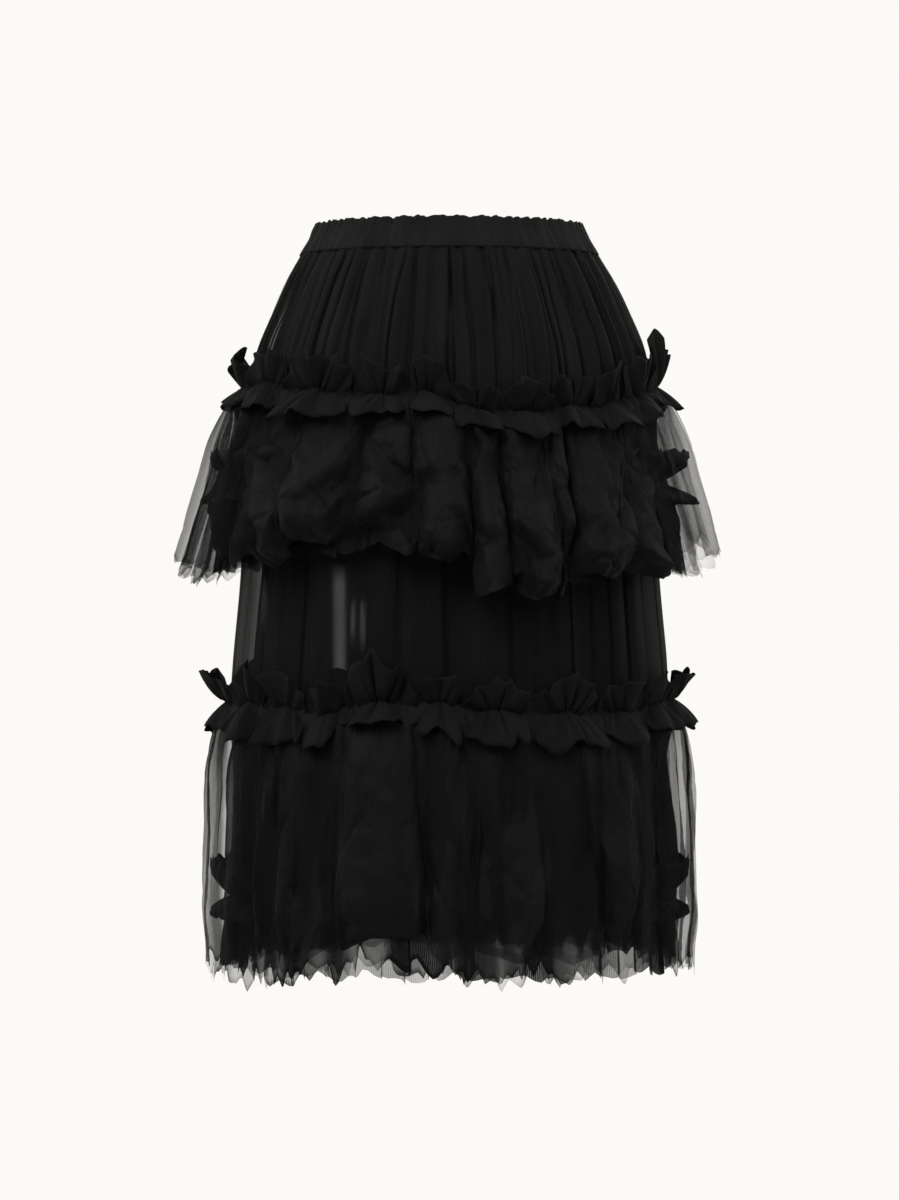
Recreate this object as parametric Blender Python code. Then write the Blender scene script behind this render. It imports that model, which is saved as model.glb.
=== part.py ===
"""A gathered skirt of sheer cloth, with two tiers of net under double-edged ruffles.

It hangs as if worn, hollow and open at waist and hem. +Z is up, the front faces -Y, and the
origin is the middle of the waistband at half its height, where the wearer's waist holds it.
Sizes are in metres and azimuths in degrees: 0 at the front, +90 at the side seam on +X.
"""

import math
from collections import namedtuple

import bpy
from mathutils import Vector

COLLECTION = "gathered_skirt"

# Driving sizes
BAND_HEIGHT = 0.030
BAND_WALL = 0.0030
SHEER_WALL = 0.0012
LINING_WALL = 0.0010
RUFFLE_WALL = 0.0013
NET_WALL = 0.0012
SEAM_GAP = 0.0003

# The oval that the cloth hangs round, from above the waistband to below the hem
Section = namedtuple("Section", "height half_width half_depth")
BODY_FORM = [
    Section(0.020, 0.130, 0.096),
    Section(0.000, 0.138, 0.102),
    Section(-0.016, 0.148, 0.110),
    Section(-0.042, 0.163, 0.123),
    Section(-0.070, 0.176, 0.136),
    Section(-0.110, 0.193, 0.151),
    Section(-0.150, 0.201, 0.159),
    Section(-0.250, 0.204, 0.166),
    Section(-0.340, 0.209, 0.176),
    Section(-0.430, 0.217, 0.186),
    Section(-0.470, 0.218, 0.188),
    Section(-0.560, 0.214, 0.188),
    Section(-0.650, 0.212, 0.188),
    Section(-0.740, 0.212, 0.188),
]

# Folds of the sheer skirt, which run on up through the waistband
FOLDS = 36
COLUMNS_PER_FOLD = 3
FOLD_DEPTH = 0.0055
BAND_FOLD_DEPTH = 0.0016
PINCHED_FOLD_DEPTH = 0.0005
PINCH_RUN = 0.045
UNDER_BAND_RUN = 0.060
SKIRT_FREE_HEIGHTS = (-0.050, -0.100, -0.345, -0.565)
SKIRT_HEM = -0.676
LINING_HEM = -0.662
LINING_COLUMNS = 18
LINING_HEIGHTS = (-0.050, -0.100, -0.190, -0.345, -0.500, LINING_HEM)
LINING_SINK_RUN = 0.035
LINING_TOP_INSET = 0.0024
LINING_INSET = 0.0100

# One lobe of a ruffle and the puff of net that hangs below it. Seam and hem are heights, rise
# and drop the frill above and below the seam, lean how far the upper frill stands out, and
# tuck how far the hem of the net turns in.
Lobe = namedtuple("Lobe", "width seam rise drop lean hem tuck")
UPPER_LOBES = [
    Lobe(20.0, -0.146, 0.029, 0.024, 0.017, -0.316, 0.000),
    Lobe(20.0, -0.144, 0.027, 0.030, 0.015, -0.328, 0.004),
    Lobe(24.0, -0.155, 0.034, 0.024, 0.013, -0.318, 0.014),
    Lobe(15.0, -0.160, 0.031, 0.020, 0.012, -0.304, 0.012),
    Lobe(11.0, -0.158, 0.032, 0.020, 0.014, -0.320, 0.006),
    Lobe(14.0, -0.174, 0.022, 0.020, 0.013, -0.336, 0.006),
    Lobe(14.5, -0.176, 0.028, 0.024, 0.015, -0.354, 0.010),
    Lobe(13.0, -0.171, 0.032, 0.022, 0.012, -0.358, 0.012),
    Lobe(13.0, -0.168, 0.030, 0.024, 0.012, -0.340, 0.004),
    Lobe(17.5, -0.156, 0.034, 0.028, 0.014, -0.334, 0.004),
    Lobe(18.0, -0.146, 0.040, 0.024, 0.017, -0.308, 0.000),
]
LOWER_LOBES = [
    Lobe(20.0, -0.458, 0.024, 0.028, 0.024, -0.716, 0.004),
    Lobe(17.0, -0.458, 0.027, 0.034, 0.015, -0.720, 0.002),
    Lobe(15.5, -0.462, 0.028, 0.036, 0.013, -0.720, 0.002),
    Lobe(10.3, -0.468, 0.030, 0.028, 0.015, -0.710, 0.004),
    Lobe(19.0, -0.455, 0.042, 0.018, 0.018, -0.702, 0.006),
    Lobe(11.5, -0.456, 0.022, 0.032, 0.014, -0.704, 0.004),
    Lobe(16.2, -0.463, 0.024, 0.031, 0.013, -0.714, 0.002),
    Lobe(20.7, -0.465, 0.027, 0.031, 0.014, -0.711, 0.002),
    Lobe(17.0, -0.466, 0.026, 0.028, 0.013, -0.708, 0.002),
    Lobe(16.0, -0.458, 0.028, 0.026, 0.015, -0.712, 0.002),
    Lobe(16.8, -0.456, 0.026, 0.026, 0.018, -0.718, 0.006),
]
COLUMNS_PER_LOBE = 5
BACK_RISE = 0.007

# How net springs out below its seam: a quick swell, then a straight slope, with valleys
# between the puffs
Drape = namedtuple("Drape", "seam_outset swell swell_run slope valley")
UPPER_DRAPE = Drape(0.0020, 0.024, 0.018, 0.240, 0.014)
LOWER_DRAPE = Drape(0.0020, 0.024, 0.035, 0.035, 0.008)
UPPER_INNER_DRAPE = Drape(0.0034, 0.014, 0.016, 0.090, 0.000)
LOWER_INNER_DRAPE = Drape(0.0034, 0.008, 0.012, 0.050, 0.000)
VALLEY_RUN = 0.045
PUFF_FULLNESS = 0.6
NET_ROWS = (0.0, 0.10, 0.30, 0.70, 1.0)
INNER_NET_ROWS = (0.0, 0.25, 1.0)

# How far a ruffle lies out from the net at their seam, and how its frills stand
RUFFLE_OUTSET = 0.0023
FRILL_CLEARANCE = 0.0012
FRILL_FLARE = 0.008
FRILL_RIPPLE = 0.0030

# The hidden ruffles that hold the net out from within
InnerRuffle = namedtuple("InnerRuffle", "seam rise drop lean hem")
UPPER_INNER = InnerRuffle(-0.242, 0.034, 0.022, 0.036, -0.330)
LOWER_INNER = InnerRuffle(-0.654, 0.042, 0.020, 0.024, -0.720)
INNER_WAVES_PER_HALF = 7
INNER_CLEARANCE = 0.0070
INNER_RIPPLE = 0.009
INNER_HEM_WAVE = 0.003


def along(knots, values, place):
    """The value at a place on a smooth curve through the knots, which run downward."""
    last = len(knots) - 2
    k = next((n for n in range(last) if place > knots[n + 1]), last)

    def slope(n):
        before, after = max(n - 1, 0), min(n + 1, len(knots) - 1)
        return (values[after] - values[before]) / (knots[after] - knots[before])

    step = knots[k + 1] - knots[k]
    t = min(max((place - knots[k]) / step, 0.0), 1.0)
    return (
        values[k] * (1 + 2 * t) * (1 - t) ** 2
        + values[k + 1] * t * t * (3 - 2 * t)
        + step * slope(k) * t * (1 - t) ** 2
        - step * slope(k + 1) * t * t * (1 - t)
    )


def form_point(azimuth, height, outset):
    """A point at an outset from the oval form, measured square to the oval."""
    heights = [section.height for section in BODY_FORM]
    half_width = along(heights, [section.half_width for section in BODY_FORM], height)
    half_depth = along(heights, [section.half_depth for section in BODY_FORM], height)
    turn = math.radians(azimuth)
    place = Vector((half_width * math.sin(turn), -half_depth * math.cos(turn), height))
    outward = Vector((math.sin(turn) / half_width, -math.cos(turn) / half_depth, 0))
    return place + outset * outward.normalized()


def eased(share):
    share = min(max(share, 0.0), 1.0)
    return share * share * (3 - 2 * share)


# The lobes of a tier, read at any azimuth

Place = namedtuple("Place", "azimuth puff ripple seam rise drop lean hem tuck")


def half_lobes(lobes, back):
    """A half's lobes in order of azimuth. The back repeats the front's, a little higher."""
    if not back:
        return lobes
    middle = (len(lobes) - 1) / 2
    found = []
    for n, lobe in enumerate(reversed(lobes)):
        raised = BACK_RISE * (1 - ((n - middle) / middle) ** 2)
        found.append(lobe._replace(seam=lobe.seam + raised, hem=lobe.hem + raised / 2))
    return found


def across(values, n, share):
    """A lobe's value at a share of its width, running smoothly into its neighbours'."""
    left = (values[n] + values[max(n - 1, 0)]) / 2
    right = (values[n] + values[min(n + 1, len(values) - 1)]) / 2
    peak = values[n] - (left + right) / 2
    return left + (right - left) * share + peak * math.sin(math.pi * share)


def place_at(lobes, azimuth, back):
    """A half's sizes at an azimuth, which runs from one side seam to the other."""
    lobes = half_lobes(lobes, back)
    left = 90.0 if back else -90.0
    n = 0
    while n < len(lobes) - 1 and azimuth > left + lobes[n].width:
        left += lobes[n].width
        n += 1
    share = min(max((azimuth - left) / lobes[n].width, 0.0), 1.0)
    sizes = [
        across([getattr(lobe, size) for lobe in lobes], n, share)
        for size in ("seam", "rise", "drop", "lean", "hem", "tuck")
    ]
    puff = max(math.sin(math.pi * share), 0.0) ** PUFF_FULLNESS
    return Place(azimuth, puff, -math.cos(4 * math.pi * share), *sizes)


def lobe_places(lobes, back):
    """The places of the columns that a half's net and ruffle share."""
    azimuths = [90.0 if back else -90.0]
    for lobe in half_lobes(lobes, back):
        step = lobe.width / COLUMNS_PER_LOBE
        azimuths += [azimuths[-1] + step * (k + 1) for k in range(COLUMNS_PER_LOBE)]
    return [place_at(lobes, azimuth, back) for azimuth in azimuths]


# The waistband, the sheer skirt and its lining


def fold_azimuth(share, back=False):
    """The azimuth of a share of a half, warped so that no two folds are alike."""
    turn = math.pi * (share - 0.5 + (1 if back else 0))
    return math.degrees(turn + 0.050 * math.cos(3 * turn) + 0.026 * math.sin(8 * turn))


def fold_wave(azimuth_share):
    """-1 in the trough of a fold and +1 on its crest, less where the folds are shallow."""
    strength = 0.80 + 0.20 * math.sin(11 * azimuth_share + 1.0)
    return -math.cos(math.pi * FOLDS * azimuth_share) * strength


def fold_shares():
    columns = FOLDS * COLUMNS_PER_FOLD // 2
    return [k / columns for k in range(columns + 1)]


def waistband():
    top, bottom = BAND_HEIGHT / 2, -BAND_HEIGHT / 2
    rows = []
    for height, depth in ((top, 0.7 * BAND_FOLD_DEPTH), (bottom, BAND_FOLD_DEPTH)):
        rows.append([
            form_point(fold_azimuth(share, back), height, depth * fold_wave(share))
            for back in (False, True)
            for share in fold_shares()[:-1]
        ])
    cloth_wall("waistband", rows, BAND_WALL, "band", level_rims=True)


def skirt_half(name, back):
    """The sheer panel from the waistband to just below the lowest ruffle."""
    top = -BAND_HEIGHT / 2 - SEAM_GAP
    columns = []
    for share in fold_shares():
        azimuth = fold_azimuth(share, back)
        upper = place_at(UPPER_LOBES, azimuth, back).seam
        lower = place_at(LOWER_LOBES, azimuth, back).seam
        pinches = (upper, UPPER_INNER.seam, lower, LOWER_INNER.seam)
        column = []
        for height in sorted((top, *SKIRT_FREE_HEIGHTS, *pinches, SKIRT_HEM), reverse=True):
            free = eased(min(abs(height - pinch) for pinch in pinches) / PINCH_RUN)
            depth = PINCHED_FOLD_DEPTH + (FOLD_DEPTH - PINCHED_FOLD_DEPTH) * free
            under_band = eased((top - height) / UNDER_BAND_RUN)
            depth = BAND_FOLD_DEPTH + (depth - BAND_FOLD_DEPTH) * under_band
            outset = (BAND_WALL - SHEER_WALL) / 2 * (1 - under_band)
            column.append(form_point(azimuth, height, outset + depth * fold_wave(share)))
        columns.append(column)
    cloth_wall(name, list(zip(*columns)), SHEER_WALL, "sheer", level_rims=True, back=back)


def lining_half(name, back):
    """The denser inner layer, which shows through the sheer one, sewn into the waist seam."""
    top = -BAND_HEIGHT / 2 - SEAM_GAP
    sunk = LINING_INSET - LINING_TOP_INSET
    rows = []
    for height in (top, *LINING_HEIGHTS):
        inset = LINING_TOP_INSET + sunk * eased((top - height) / LINING_SINK_RUN)
        rows.append([
            form_point(fold_azimuth(k / LINING_COLUMNS, back), height, -inset)
            for k in range(LINING_COLUMNS + 1)
        ])
    cloth_wall(name, rows, LINING_WALL, "lining", level_rims=True, back=back)


# The tiers: net gathered under a double-edged ruffle


def net_outset(drape, place, fall):
    """How far net stands out from the form, so far below its seam."""
    swell = drape.swell * (1 - math.exp(-fall / drape.swell_run)) + drape.slope * fall
    valley = drape.valley * (1 - place.puff) * eased(fall / VALLEY_RUN)
    turned_in = place.tuck * eased((fall / (place.seam - place.hem) - 0.8) / 0.2)
    return drape.seam_outset + swell - valley - turned_in


def net_half(name, drape, places, shares, back):
    rows = []
    for share in shares:
        row = []
        for place in places:
            fall = share * (place.seam - place.hem)
            row.append(form_point(place.azimuth, place.seam - fall, net_outset(drape, place, fall)))
        rows.append(row)
    cloth_wall(name, rows, NET_WALL, "net", back=back)


def ruffle_half(name, drape, places, back):
    """A strip stitched along its middle: one frill stands up, the other lies over the net."""
    seam_outset = drape.seam_outset + RUFFLE_OUTSET
    rows = []
    for share in (1.0, 0.45):
        row = []
        for place in places:
            height = place.seam + share * place.rise * (0.82 + 0.18 * place.puff)
            lean = place.lean * share**0.8 * (0.55 + 0.45 * place.puff)
            outset = seam_outset + lean + FRILL_RIPPLE * place.ripple * share
            row.append(form_point(place.azimuth, height, outset))
        rows.append(row)
    rows.append([form_point(place.azimuth, place.seam, seam_outset) for place in places])
    for share in (0.45, 1.0):
        row = []
        for place in places:
            fall = share * place.drop * (0.85 + 0.15 * place.puff)
            outset = net_outset(drape, place, fall) + RUFFLE_OUTSET
            outset += share * (FRILL_CLEARANCE + FRILL_FLARE * (0.25 + 0.75 * place.puff))
            outset += FRILL_RIPPLE * (place.ripple + 1) / 2 * share
            row.append(form_point(place.azimuth, place.seam - fall, outset))
        rows.append(row)
    cloth_wall(name, rows, RUFFLE_WALL, "ruffle", back=back)


def inner_places(lobes, inner, back):
    """Even columns for a hidden ruffle and its net, on the inner seam of a tier."""
    found = []
    for k in range(2 * INNER_WAVES_PER_HALF + 1):
        azimuth = (90.0 if back else -90.0) + 90.0 * k / INNER_WAVES_PER_HALF
        hem = inner.hem + INNER_HEM_WAVE * math.sin(2.4 * k)
        place = place_at(lobes, azimuth, back)
        found.append(place._replace(ripple=k % 2, seam=inner.seam, hem=hem, puff=1.0, tuck=0.0))
    return found


def room_inside(lobes, drape, azimuth, height, back):
    """The outset that leaves clearance inside a tier's net at a place."""
    reach = 90.0 / INNER_WAVES_PER_HALF
    outsets = []
    for k in range(-3, 4):
        place = place_at(lobes, azimuth + reach * k / 3, back)
        if height > place.hem:
            outsets.append(net_outset(drape, place, place.seam - height))
    return min(outsets) - INNER_CLEARANCE


def inner_ruffle_half(name, lobes, drape, inner, inner_drape, back):
    rows = []
    for edge in ("upper", "seam", "lower"):
        row = []
        for place in inner_places(lobes, inner, back):
            lean = inner.lean - INNER_RIPPLE * place.ripple
            height, outset = inner.seam, inner_drape.seam_outset + RUFFLE_OUTSET
            if edge == "upper":
                height += inner.rise
                outset += lean
            if edge == "lower":
                height -= inner.drop
                outset += max(lean, net_outset(inner_drape, place, inner.drop))
            if edge != "seam":
                outset = min(outset, room_inside(lobes, drape, place.azimuth, height, back))
            row.append(form_point(place.azimuth, height, outset))
        rows.append(row)
    cloth_wall(name, rows, RUFFLE_WALL, "ruffle", back=back)


def tier(prefix, lobes, drape, inner, inner_drape):
    for half, back in (("front", False), ("back", True)):
        places = lobe_places(lobes, back)
        net_half(f"{prefix}_net_{half}", drape, places, NET_ROWS, back)
        ruffle_half(f"{prefix}_ruffle_{half}", drape, places, back)
        hidden = inner_places(lobes, inner, back)
        net_half(f"{prefix}_inner_net_{half}", inner_drape, hidden, INNER_NET_ROWS, back)
        ruffle_name = f"{prefix}_inner_ruffle_{half}"
        inner_ruffle_half(ruffle_name, lobes, drape, inner, inner_drape, back)


# Blender objects


def cloth_material(name):
    """Black cloth, a little glossier for the net than for the ruffles."""
    shades = {"band": 0.012, "sheer": 0.010, "lining": 0.006, "ruffle": 0.010, "net": 0.014}
    roughness = {"band": 0.80, "sheer": 0.70, "lining": 0.85, "ruffle": 0.75, "net": 0.60}
    material = bpy.data.materials.get(name) or bpy.data.materials.new(name)
    material.use_nodes = True
    shader = material.node_tree.nodes["Principled BSDF"]
    shader.inputs["Base Color"].default_value = (shades[name],) * 3 + (1.0,)
    shader.inputs["Roughness"].default_value = roughness[name]
    shader.inputs["Metallic"].default_value = 0.0
    return material


def outward(rows, i, k, ring, level):
    """The cloth's outward direction at a point. At a side seam it lies in the seam's plane."""
    upper, lower = rows[max(i - 1, 0)], rows[min(i + 1, len(rows) - 1)]
    count = len(rows[i])
    before = (k - 1) % count if ring else max(k - 1, 0)
    after = (k + 1) % count if ring else min(k + 1, count - 1)
    direction = (lower[k] - upper[k]).cross(rows[i][after] - rows[i][before])
    if level:
        direction.z = 0.0
    if not ring and k in (0, count - 1):
        direction.y = 0.0
    return direction.normalized()


def cloth_wall(name, rows, wall, material, level_rims=False, back=None):
    """A closed wall of cloth through rows of points, from the top row down.

    A front or back half stops short of the side seams. Without a half, the rows close round.
    """
    ring = back is None
    rows = [[Vector(point) for point in row] for row in rows]
    if not ring:
        for row in rows:
            row[0].y = row[-1].y = SEAM_GAP / 2 * (1 if back else -1)
    count, last = len(rows[0]), len(rows) - 1
    outer, inner = [], []
    for i, row in enumerate(rows):
        for k, point in enumerate(row):
            level = level_rims and i in (0, last)
            half_wall = wall / 2 * outward(rows, i, k, ring, level)
            outer.append(point + half_wall)
            inner.append(point - half_wall)
    shift = len(outer)
    quads = []
    for k in range(count if ring else count - 1):
        after = (k + 1) % count
        for i in range(last):
            a, b = i * count + k, i * count + after
            c, d = a + count, b + count
            quads += [(c, d, b, a), (c + shift, a + shift, b + shift, d + shift)]
        c, d = last * count + k, last * count + after
        quads += [(k, after, after + shift, k + shift), (d, c, c + shift, d + shift)]
    if not ring:
        for i in range(last):
            a, c = i * count, (i + 1) * count
            b, d = a + count - 1, c + count - 1
            quads += [(c, a, a + shift, c + shift), (b, d, d + shift, b + shift)]
    triangles = [corner for p, q, r, s in quads for corner in ((p, q, r), (p, r, s))]
    mesh = bpy.data.meshes.new(name)
    mesh.from_pydata(outer + inner, [], triangles)
    mesh.materials.append(cloth_material(material))
    piece = bpy.data.objects.new(name, mesh)
    bpy.data.collections[COLLECTION].objects.link(piece)


def main():
    for old in list(bpy.data.objects):
        bpy.data.objects.remove(old)
    collection = bpy.data.collections.new(COLLECTION)
    bpy.context.scene.collection.children.link(collection)
    waistband()
    for half, back in (("front", False), ("back", True)):
        skirt_half(f"skirt_{half}", back)
        lining_half(f"lining_{half}", back)
    tier("upper", UPPER_LOBES, UPPER_DRAPE, UPPER_INNER, UPPER_INNER_DRAPE)
    tier("lower", LOWER_LOBES, LOWER_DRAPE, LOWER_INNER, LOWER_INNER_DRAPE)


main()
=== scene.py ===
import math

import bpy
import numpy as np
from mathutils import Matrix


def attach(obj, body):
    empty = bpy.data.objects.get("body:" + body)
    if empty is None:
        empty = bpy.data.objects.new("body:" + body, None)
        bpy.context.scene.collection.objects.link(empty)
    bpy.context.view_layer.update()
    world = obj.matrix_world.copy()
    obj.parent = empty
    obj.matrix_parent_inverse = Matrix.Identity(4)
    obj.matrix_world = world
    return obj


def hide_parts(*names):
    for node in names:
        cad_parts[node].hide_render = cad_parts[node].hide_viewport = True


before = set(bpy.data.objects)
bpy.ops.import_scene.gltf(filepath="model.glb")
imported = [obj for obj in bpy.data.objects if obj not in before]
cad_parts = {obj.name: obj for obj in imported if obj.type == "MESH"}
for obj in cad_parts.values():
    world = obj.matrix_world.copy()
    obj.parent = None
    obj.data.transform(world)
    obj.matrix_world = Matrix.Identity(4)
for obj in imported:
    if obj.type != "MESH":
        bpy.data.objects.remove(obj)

scene = bpy.context.scene
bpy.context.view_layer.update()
print("frame loaded:", len(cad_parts), "CAD pieces")


def addObject(name, data):
    thing = bpy.data.objects.new(name, data)
    scene.collection.objects.link(thing)
    return thing


# The camera looks level at the front from 4 m, and a millimetre there is a pixel of the photograph
cameraLook = {"distance": 4.0, "height": -0.359, "lens": 120.0, "sensor": 36.0}

cameraData = bpy.data.cameras.new("camera")
cameraData.lens = cameraLook["lens"]
cameraData.sensor_width = cameraLook["sensor"]
cameraData.clip_end = 60.0
camera = addObject("camera", cameraData)
camera.location = (0.0, -cameraLook["distance"], cameraLook["height"])
camera.rotation_euler = (math.radians(90.0), 0.0, 0.0)
scene.camera = camera


# The oval that the cloth hangs round, as in the CAD
bodyForm = {
    "height": [0.020, 0.000, -0.016, -0.042, -0.070, -0.110, -0.150, -0.250, -0.340, -0.430, -0.470,
               -0.560, -0.650, -0.740],
    "halfWidth": [0.130, 0.138, 0.148, 0.163, 0.176, 0.193, 0.201, 0.204, 0.209, 0.217, 0.218,
                  0.214, 0.212, 0.212],
    "halfDepth": [0.096, 0.102, 0.110, 0.123, 0.136, 0.151, 0.159, 0.166, 0.176, 0.186, 0.188,
                  0.188, 0.188, 0.188],
}


def alongCurve(knots, values, places):
    # the value at each place on a smooth curve through knots that run downward
    knots = np.asarray(knots, float)
    values = np.asarray(values, float)
    before = np.maximum(np.arange(len(knots)) - 1, 0)
    after = np.minimum(np.arange(len(knots)) + 1, len(knots) - 1)
    slopes = (values[after] - values[before]) / (knots[after] - knots[before])
    k = np.clip(np.searchsorted(-knots, -places) - 1, 0, len(knots) - 2)
    step = knots[k + 1] - knots[k]
    t = np.clip((places - knots[k]) / step, 0.0, 1.0)
    start = values[k] * (1 + 2 * t) * (1 - t) ** 2 + step * slopes[k] * t * (1 - t) ** 2
    end = values[k + 1] * t * t * (3 - 2 * t) - step * slopes[k + 1] * t * t * (1 - t)
    return start + end


def formPoints(azimuth, height, outset, sideways=0.0):
    # points at an outset from the oval, moved sideways along it
    halfWidth = alongCurve(bodyForm["height"], bodyForm["halfWidth"], height)
    halfDepth = alongCurve(bodyForm["height"], bodyForm["halfDepth"], height)
    turn = np.radians(azimuth)
    outX = np.sin(turn) / halfWidth
    outY = -np.cos(turn) / halfDepth
    size = np.hypot(outX, outY)
    outX, outY = outX / size, outY / size
    x = halfWidth * np.sin(turn) + outset * outX - sideways * outY
    y = -halfDepth * np.cos(turn) + outset * outY + sideways * outX
    return np.stack(np.broadcast_arrays(x, y, height), axis=-1)


def eased(share):
    share = np.clip(share, 0.0, 1.0)
    return share * share * (3 - 2 * share)


def rightward(azimuth):
    # -1 at the left side of the picture, 1 at the right
    return np.sin(np.radians(azimuth))


def anyPhase(chance):
    return chance.uniform(0, 6.3)


def foldPhase(azimuth, count, seed, wander=0.9):
    # the phase of folds round the oval, unevenly spaced
    chance = np.random.default_rng(seed)
    turn = np.radians(azimuth)
    phase = count * turn + chance.uniform(0, 2 * math.pi)
    for k in (2, 3, 5, 8, 13):
        phase = phase + wander * chance.uniform(0.4, 1.0) * np.sin(k * turn + anyPhase(chance))
    return phase


def uneven(azimuth, seed, low, high, waves=(3, 7, 12, 19)):
    # a smooth random amount round the oval
    chance = np.random.default_rng(seed)
    turn = np.radians(azimuth)
    total = sum(np.sin(k * turn + anyPhase(chance)) for k in waves)
    return low + (high - low) * eased(0.5 + total / (1.3 * len(waves)))


def creased(phase, sharpness=0.93):
    # a wave of flat facets between creases
    return np.arcsin(sharpness * np.sin(phase)) / math.asin(sharpness)


def facets(azimuth, narrow, wide, seed, least=0.35):
    # a zigzag of flat facets from -1 to 1, with creases at uneven spacing, in degrees
    chance = np.random.default_rng(seed)
    count = 2 * int(360.0 / (narrow + wide))
    steps = chance.uniform(narrow, wide, count)
    places = np.cumsum(steps) * 360.0 / steps.sum()
    heights = chance.uniform(least, 1.0, count) * np.where(np.arange(count) % 2, 1.0, -1.0)
    return np.interp(azimuth, places, heights, period=360.0)


def grooves(azimuth, narrow, wide, seed, width=0.5):
    # thin creases at uneven spacing: 0 between them, down to -1 in the deepest
    chance = np.random.default_rng(seed)
    count = int(720.0 / (narrow + wide))
    steps = chance.uniform(narrow, wide, count)
    places = np.cumsum(steps) * 360.0 / steps.sum()
    deepest = np.zeros(np.shape(azimuth))
    for place, depth in zip(places, chance.uniform(0.15, 1.0, count)):
        away = (azimuth - place + 180.0) % 360.0 - 180.0
        deepest = np.minimum(deepest, -depth * np.exp(-((away / width) ** 2)))
    return deepest


def crumpled(points, size, seed):
    # facets between sharp creases that cross one another, as in crushed net, from about -1 to 1
    chance = np.random.default_rng(seed)
    total = np.zeros(points.shape[:-1])
    for k in range(6):
        way, bend = chance.normal(size=(2, 3)) * (1.0, 1.0, 0.5)
        way, bend = way / np.linalg.norm(way), bend / np.linalg.norm(bend)
        ripple = 1.3 * np.sin(2 * math.pi * (points @ bend) / (2.1 * size) + anyPhase(chance))
        phase = 2 * math.pi * (points @ way) / (size * chance.uniform(0.6, 1.6)) + ripple + anyPhase(chance)
        total = total + 0.55 * creased(phase, 0.995) - 0.55 * np.exp(-((np.sin(phase / 2) / 0.10) ** 2))
    return total / 1.6


# Crushed cloth: rows of cells down it, how far their rows shift and zigzag, and the pressed creases
paperLook = {"levels": 24, "bend": 0.45, "zigzag": 0.45, "creaseDepth": 0.26, "creaseWidth": 0.055}


def paperFolds(azimuth, fall, width, drop, seed):
    # flat triangles between sharp creases, from -1 to 1: cells so many degrees wide and so many metres tall
    look = paperLook
    chance = np.random.default_rng(seed)
    count, levels = int(360.0 / width), look["levels"]
    heights = chance.uniform(-1.0, 1.0, (count, levels))
    turned = chance.integers(0, 2, (count, levels))
    bent = np.interp(fall / drop, np.arange(levels), chance.uniform(-look["bend"], look["bend"], levels))
    pressed = chance.uniform(0.0, 1.0, (count, levels))
    u = (azimuth + 90.0) * count / 360.0 + bent
    v = fall / drop + 1.0 + look["zigzag"] * facets(azimuth, width, 2.2 * width, seed + 1)
    i, j = np.floor(u).astype(int), np.floor(v).astype(int)
    du, dv = u - i, v - j
    i, j = i % count, np.clip(j, 0, levels - 2)
    mirrored = turned[i, j] == 1
    du = np.where(mirrored, 1.0 - du, du)
    near = np.where(mirrored, (i + 1) % count, i)
    far = np.where(mirrored, i, (i + 1) % count)
    topNear, topFar, footNear, footFar = heights[near, j], heights[far, j], heights[near, j + 1], heights[far, j + 1]
    across = topNear + du * (topFar - topNear) + dv * (footFar - topFar)
    along = topNear + dv * (footNear - topNear) + du * (footFar - footNear)
    crease = np.exp(-(((du - dv) / look["creaseWidth"]) ** 2))
    return np.where(du > dv, across, along) - look["creaseDepth"] * pressed[i, j] * crease


def clothGrid(look):
    # the azimuth of each column, from the left side once round, and how far down the cloth each row lies
    azimuth = np.linspace(-90.0, 270.0, look["columns"] + 1)[None, :-1]
    return azimuth, np.linspace(0.0, 1.0, look["rows"])[:, None]


# Lobes of each tier's ruffle and net, as in the CAD: widths in degrees, the rest in metres
lobeColumns = ("width", "seam", "rise", "drop", "lean", "hem", "tuck")
upperLobes = [
    (20.0, -0.146, 0.029, 0.024, 0.017, -0.316, 0.000),
    (20.0, -0.144, 0.027, 0.030, 0.015, -0.328, 0.004),
    (24.0, -0.155, 0.034, 0.024, 0.013, -0.318, 0.014),
    (15.0, -0.160, 0.031, 0.020, 0.012, -0.304, 0.012),
    (11.0, -0.158, 0.032, 0.020, 0.014, -0.320, 0.006),
    (14.0, -0.174, 0.022, 0.020, 0.013, -0.336, 0.006),
    (14.5, -0.176, 0.028, 0.024, 0.015, -0.354, 0.010),
    (13.0, -0.171, 0.032, 0.022, 0.012, -0.358, 0.012),
    (13.0, -0.168, 0.030, 0.024, 0.012, -0.340, 0.004),
    (17.5, -0.156, 0.034, 0.028, 0.014, -0.334, 0.004),
    (18.0, -0.146, 0.040, 0.024, 0.017, -0.308, 0.000),
]
lowerLobes = [
    (20.0, -0.458, 0.024, 0.028, 0.024, -0.716, 0.004),
    (17.0, -0.458, 0.027, 0.034, 0.015, -0.720, 0.002),
    (15.5, -0.462, 0.028, 0.036, 0.013, -0.720, 0.002),
    (10.3, -0.468, 0.030, 0.028, 0.015, -0.710, 0.004),
    (19.0, -0.455, 0.042, 0.018, 0.018, -0.702, 0.006),
    (11.5, -0.456, 0.022, 0.032, 0.014, -0.704, 0.004),
    (16.2, -0.463, 0.024, 0.031, 0.013, -0.714, 0.002),
    (20.7, -0.465, 0.027, 0.031, 0.014, -0.711, 0.002),
    (17.0, -0.466, 0.026, 0.028, 0.013, -0.708, 0.002),
    (16.0, -0.458, 0.028, 0.026, 0.015, -0.712, 0.002),
    (16.8, -0.456, 0.026, 0.026, 0.018, -0.718, 0.006),
]
backRise = 0.007
puffFullness = 0.6
lobeRadius = 0.21  # spread moves a lobe's sides apart until they meet its neighbours'


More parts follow.
